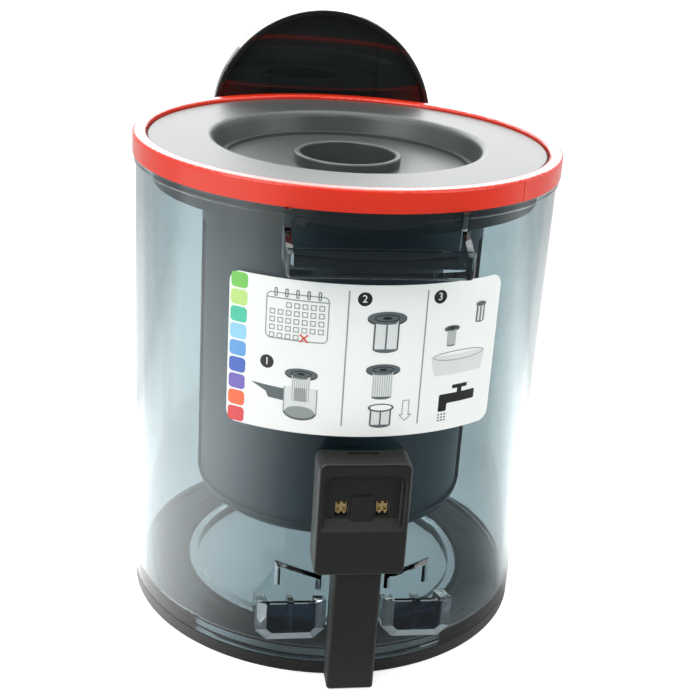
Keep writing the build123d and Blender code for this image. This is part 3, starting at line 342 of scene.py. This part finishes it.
def print_sign(name, shapes):
    """Join flat shapes, each with its ink and layer, bend them round the cup and fix them to the bin."""
    sign = bmesh.new()
    mesh = bpy.data.meshes.new(name)
    for shape, shade, layer in shapes:
        if shade.name not in mesh.materials:
            mesh.materials.append(shade)
        for face in shape.faces:
            face.material_index = mesh.materials.find(shade.name)
        raised = bmesh.ops.extrude_face_region(shape, geom=shape.faces[:])["geom"]
        top = [v for v in raised if isinstance(v, bmesh.types.BMVert)]
        bmesh.ops.translate(shape, verts=top, vec=(0, 0, ink_skin * layer))
        flat = bpy.data.meshes.new("flat")
        shape.to_mesh(flat)
        sign.from_mesh(flat)
        shape.free()
        bpy.data.meshes.remove(flat)
    for k in range(int(-label_reach / bend_step), int(label_reach / bend_step) + 1):
        geometry = sign.verts[:] + sign.edges[:] + sign.faces[:]
        bmesh.ops.bisect_plane(sign, geom=geometry, plane_co=(k * bend_step, 0, 0), plane_no=(1, 0, 0))
    for vert in sign.verts:
        turn = vert.co.x / film_radius
        reach = film_radius + ink_lift + vert.co.z
        vert.co = Vector((reach * sin(turn), -reach * cos(turn), label_middle + vert.co.y)) / 1000
    bmesh.ops.recalc_face_normals(sign, faces=sign.faces)
    sign.to_mesh(mesh)
    sign.free()
    printed = bpy.data.objects.new(name, mesh)
    bpy.context.scene.collection.objects.link(printed)
    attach(printed, "bin")


# Colour tiles down the left edge
tile_shades = "#6FBF55 #B4D77E #45BC9C #8CC6E6 #5F9BD6 #4463B6 #6F5FB2 #E5673F #CF4247".split()
tile_pitch = 2 * label_half / len(tile_shades)
tile_gap = 0.5
tile_width = 4.6
tiles = []
for k, shade in enumerate(tile_shades):
    tile_v = label_half - (k + 0.5) * tile_pitch
    tile_u = -label_reach + tile_gap + tile_width / 2
    tile = block(tile_u, tile_v, tile_width, tile_pitch - tile_gap, 1.0)
    tiles.append((tile, ink(f"tile_ink_{k + 1}", shade), 1))
print_sign("label_tiles", tiles)

# Lines between the columns, and the numbered discs
line_foot, line_top = -17.0, 18.4
disc_width = 3.5
numeral_height = 2.7
columns = [(bar((u, line_foot), (u, line_top), 0.35), line_ink, 1) for u in (-5.9, 13.6)]
for digit, u, v in (("1", -25.2, -1.9), ("2", -2.1, 16.4), ("3", 17.0, 16.4)):
    columns.append((oval(u, v, disc_width, disc_width), black_ink, 1))
    columns.append((numeral(digit, u, v, numeral_height), white_ink, 2))
print_sign("label_columns", columns)

# Calendar with its rings, a line under them and one day crossed out
calendar_line = 0.28
calendar = [(line_of(block(-18.2, 10.4, 15.6, 12.0, 1.4), calendar_line), line_ink, 1)]
calendar.append((bar((-25.9, 14.9), (-10.5, 14.9), calendar_line), line_ink, 1))
for k in range(5):
    calendar.append((line_of(block(-23.6 + 2.7 * k, 16.4, 0.8, 2.2, 0.35), 0.22), grey_ink, 2))
day_left, day_top = -24.3, 13.4
day_pitch = 2.02
day_width = 1.4
first_day, last_day = 2, 32
for day in range(first_day, last_day):
    u = day_left + day_pitch * (day % 7)
    v = day_top - day_pitch * (day // 7)
    calendar.append((line_of(block(u, v, day_width, day_width), 0.24), line_ink, 1))
cross_u = day_left + day_pitch * (last_day % 7)
cross_v = day_top - day_pitch * (last_day // 7)
for slant in (-1, 1):
    stroke = bar((cross_u - 1.0, cross_v - slant), (cross_u + 1.0, cross_v + slant), 0.4)
    calendar.append((stroke, red_ink, 2))
print_sign("label_calendar", calendar)


# Signs of the bin, its lid, the filter and the cage
def lid_sign(u, v, width):
    """Lid seen from a little above."""
    return [
        (oval(u, v - width * 0.03, width, width * 0.36), black_ink, 1),
        (oval(u, v, width, width * 0.34), grey_ink, 2),
        (line_of(oval(u, v, width * 0.64, width * 0.2), 0.22), black_ink, 3),
        (oval(u, v, width * 0.24, width * 0.08), black_ink, 3),
    ]


def cage_sign(u, top, bottom, width):
    """Cage with three upright bars."""
    shapes = [(oval(u, bottom, width, width * 0.32), grey_ink, 1)]
    shapes.append((block(u, (top + bottom) / 2, width, top - bottom), pale_ink, 2))
    for side in (-1, 0, 1):
        bar_u = u + side * (width / 2 - 0.2)
        shapes.append((bar((bar_u, bottom - 0.1), (bar_u, top), 0.4), grey_ink, 3))
    return shapes


def pleat_sign(u, top, bottom, width):
    """Pleated filter with a dark end cap."""
    shapes = [(oval(u, bottom, width, width * 0.3), grey_ink, 1)]
    shapes.append((block(u, (top + bottom) / 2, width, top - bottom), pale_ink, 2))
    for k in range(9):
        pleat_u = u + (k - 4) * width / 9
        shapes.append((bar((pleat_u, bottom), (pleat_u, top), 0.12), line_ink, 3))
    return shapes


def arrow_sign(u, top, bottom, width):
    """Open arrow that points down."""
    neck = bottom + width * 0.5
    points = [
        (u - width / 4, top),
        (u - width / 4, neck),
        (u - width / 2, neck),
        (u, bottom),
        (u + width / 2, neck),
        (u + width / 4, neck),
        (u + width / 4, top),
    ]
    return [(line_of(patch(points), 0.18), line_ink, 2)]


bin_sign = [
    (patch([(-29.2, -7.9), (-20.4, -8.4), (-20.4, -11.6), (-24.6, -11.3), (-25.2, -9.8)], 0.3), grey_ink, 1),
    (oval(-16.4, -14.3, 8.4, 4.2), grey_ink, 1),
    (block(-16.4, -11.0, 8.4, 6.6), pale_ink, 2),
    (oval(-16.4, -14.2, 7.4, 3.2), line_ink, 3),
]
for edge_u in (-20.5, -12.3):
    bin_sign.append((bar((edge_u, -14.3), (edge_u, -7.8), 0.25), line_ink, 3))
bin_sign += pleat_sign(-16.4, -4.5, -11.3, 4.6)
bin_sign += lid_sign(-16.4, -4.0, 8.2)
print_sign("label_bin_sign", bin_sign)

parts_sign = cage_sign(3.7, 11.2, 3.6, 6.3) + lid_sign(3.7, 11.6, 9.8)
parts_sign += pleat_sign(3.6, -2.4, -9.0, 5.1) + lid_sign(3.6, -1.8, 8.6)
parts_sign += cage_sign(3.7, -12.2, -16.6, 5.4)
parts_sign.append((oval(3.7, -12.0, 6.6, 2.2), grey_ink, 4))
parts_sign.append((oval(3.7, -11.9, 5.4, 1.5), white_ink, 5))
parts_sign += arrow_sign(10.1, -10.2, -15.9, 3.6)
print_sign("label_parts_sign", parts_sign)

basin_sign = [
    (patch([(15.9, 0.6), (17.2, -4.6), (31.6, -4.7), (32.4, 0.8)], 0.5), pale_ink, 1),
    (line_of(oval(24.2, 0.4, 15.6, 2.6), 0.18), line_ink, 2),
]
basin_sign += pleat_sign(21.2, 7.4, 3.4, 2.6) + lid_sign(21.2, 7.8, 4.4)
basin_sign += cage_sign(29.6, 13.0, 8.6, 2.6)
basin_sign.append((oval(29.6, 13.1, 3.2, 1.2), grey_ink, 4))
print_sign("label_basin_sign", basin_sign)

tap_outline = [(19.2, -9.9), (19.2, -14.6), (21.6, -14.6), (21.6, -12.5), (30.2, -12.5), (30.2, -9.9)]
tap_sign = [
    (patch(tap_outline, 0.4), black_ink, 1),
    (bar((25.2, -10.2), (25.2, -8.4), 1.4), black_ink, 1),
    (block(25.2, -8.2, 4.6, 1.0), black_ink, 1),
]
for row in range(3):
    for drop in range(3):
        tap_sign.append((block(19.5 + 0.9 * drop, -15.4 - 0.8 * row, 0.5, 0.4), grey_ink, 1))
print_sign("label_tap_sign", tap_sign)

# Studio
# White sweep: floor and world are white to the eye and through clear plastic, also behind the bin. Mirrored
# in the bin they are white at its sides and dim in front, as in a room that is dark behind the camera.
dark_side = (sin(radians(22)), -cos(radians(22)), 0)


def dim_in_front(tree, direction):
    """What reflections get from this direction: all the light at the sides and back, little in front."""
    level = node(tree, "VectorMath", {0: direction, 1: (1, 1, 0)}, operation="MULTIPLY")
    level = node(tree, "VectorMath", {0: level.outputs[0]}, operation="NORMALIZE")
    forward = node(tree, "VectorMath", {0: level.outputs[0], 1: dark_side}, operation="DOT_PRODUCT")
    return ramp(tree, forward.outputs["Value"], 0.0, 0.85, 1.0, 0.1, interpolation_type="SMOOTHSTEP")


def after(tree, kind):
    """1 for a ray that has left a surface this way before, and 0 for any other."""
    return maths(tree, "MINIMUM", node(tree, "LightPath", {}).outputs[kind + " Depth"], 1.0)


def choose(tree, factor, first, second):
    """The first value where the factor is 0, and the second where it is 1."""
    return node(tree, "Mix", {0: factor, 2: first, 3: second}, data_type="FLOAT").outputs[0]


world = bpy.data.worlds.new("studio")
bpy.context.scene.world = world
world.use_nodes = True
tree = world.node_tree
sky_ambient = 0.42
plain = choose(tree, after(tree, "Diffuse"), 1.0, sky_ambient)
mirrored = dim_in_front(tree, node(tree, "TexCoord", {}).outputs["Generated"])
level = choose(tree, after(tree, "Glossy"), plain, mirrored)
tree.links.new(level, tree.nodes["Background"].inputs["Strength"])
tree.nodes["Background"].inputs["Color"].default_value = (1, 1, 1, 1)

floor_reach = 3.0
floor_drop = 0.0003
floor_mesh = bpy.data.meshes.new("floor")
bm = bmesh.new()
bmesh.ops.create_grid(bm, x_segments=1, y_segments=1, size=floor_reach)
bmesh.ops.translate(bm, verts=bm.verts, vec=(0, 0, -floor_drop))
bm.to_mesh(floor_mesh)
bm.free()
floor = bpy.data.objects.new("floor", floor_mesh)
bpy.context.scene.collection.objects.link(floor)
floor_paint, tree, shader, place = surface("white_floor", Roughness=0.9, Base_Color=colour("#F4F4F2"))
from_bin = node(tree, "VectorMath", {0: place}, operation="LENGTH").outputs["Value"]
# To the eye the floor is lifted to white under the bin and far off, and keeps its shadow between
under_bin = ramp(tree, from_bin, 0.03, 0.1, 0.95, 0.05)
far_off = ramp(tree, from_bin, 0.5, 1.0, 0.0, 0.7)
mirror_lift = 1.0
plain = choose(tree, after(tree, "Diffuse"), maths(tree, "ADD", under_bin, far_off), 0.0)
lift = choose(tree, after(tree, "Glossy"), plain, mirror_lift)
tree.links.new(lift, shader.inputs["Emission Strength"])
shader.inputs["Emission Color"].default_value = (1, 1, 1, 1)
# Mirrored, it is dim in front, but for a little light close by, and behind, so that the outline shows
close_by = ramp(tree, from_bin, 0.07, 0.09, 0.2, 0.0)
wide = maths(tree, "MULTIPLY", ramp(tree, from_bin, 0.2, 0.45, 1.0, 0.6), dim_in_front(tree, place))
behind = ramp(tree, node(tree, "SeparateXYZ", {0: place}).outputs["Y"], 0.04, 0.12, 1.0, 0.46)
mirrored = maths(tree, "MAXIMUM", close_by, maths(tree, "MULTIPLY", wide, behind))
lit = choose(tree, after(tree, "Glossy"), 1.0, mirrored)
dark_floor = node(tree, "BsdfDiffuse", {"Color": colour("#20262A")})
shown = node(tree, "MixShader", {0: lit, 1: dark_floor.outputs[0], 2: shader.outputs[0]})
tree.links.new(shown.outputs[0], tree.nodes["Material Output"].inputs["Surface"])
floor_mesh.materials.append(floor_paint)

for lamp_name, spot, aim, width, height, power in (
    ("key_lamp", (-0.6, -0.45, 0.6), (0, 0, 0.08), 0.5, 0.5, 3.3),
    ("fill_lamp", (0.65, -0.35, 0.5), (0, 0, 0.08), 0.5, 0.5, 1.9),
    ("top_lamp", (0.0, 0.0, 0.95), (0, 0, 0.08), 1.0, 1.0, 8.0),
    ("back_panel", (0.0, 0.9, 0.5), (0, 0, 0.13), 1.1, 0.7, 6.8),
):
    lamp = bpy.data.lights.new(lamp_name, "AREA")
    lamp.shape = "RECTANGLE"
    lamp.size = width
    lamp.size_y = height
    lamp.energy = power
    lamp_object = bpy.data.objects.new(lamp_name, lamp)
    lamp_object.location = spot
    lamp_object.rotation_euler = (Vector(aim) - Vector(spot)).to_track_quat("-Z", "Y").to_euler()
    lamp_object.visible_transmission = False
    lamp_object.visible_camera = False
    bpy.context.scene.collection.objects.link(lamp_object)

# Camera
# In front of the bin, a little to its left, looking down at it with the picture tipped slightly.
camera_turn = radians(-8.46)
camera_reach = 0.33992
camera_height = 0.20788
camera_aim = Vector((0.0042, -0.0007, 0.0712))
camera_roll = radians(3.84)
camera = bpy.data.objects.new("camera", bpy.data.cameras.new("camera"))
bpy.context.scene.collection.objects.link(camera)
camera.data.lens = 64.96
camera.data.sensor_width = 36.0
camera.location = (camera_reach * sin(camera_turn), -camera_reach * cos(camera_turn), camera_height)
look = (camera_aim - camera.location).to_track_quat("-Z", "Y").to_matrix()
camera.rotation_euler = (look @ Matrix.Rotation(camera_roll, 3, "Z")).to_euler()
bpy.context.scene.camera = camera
bpy.context.scene.view_settings.view_transform = "Standard"
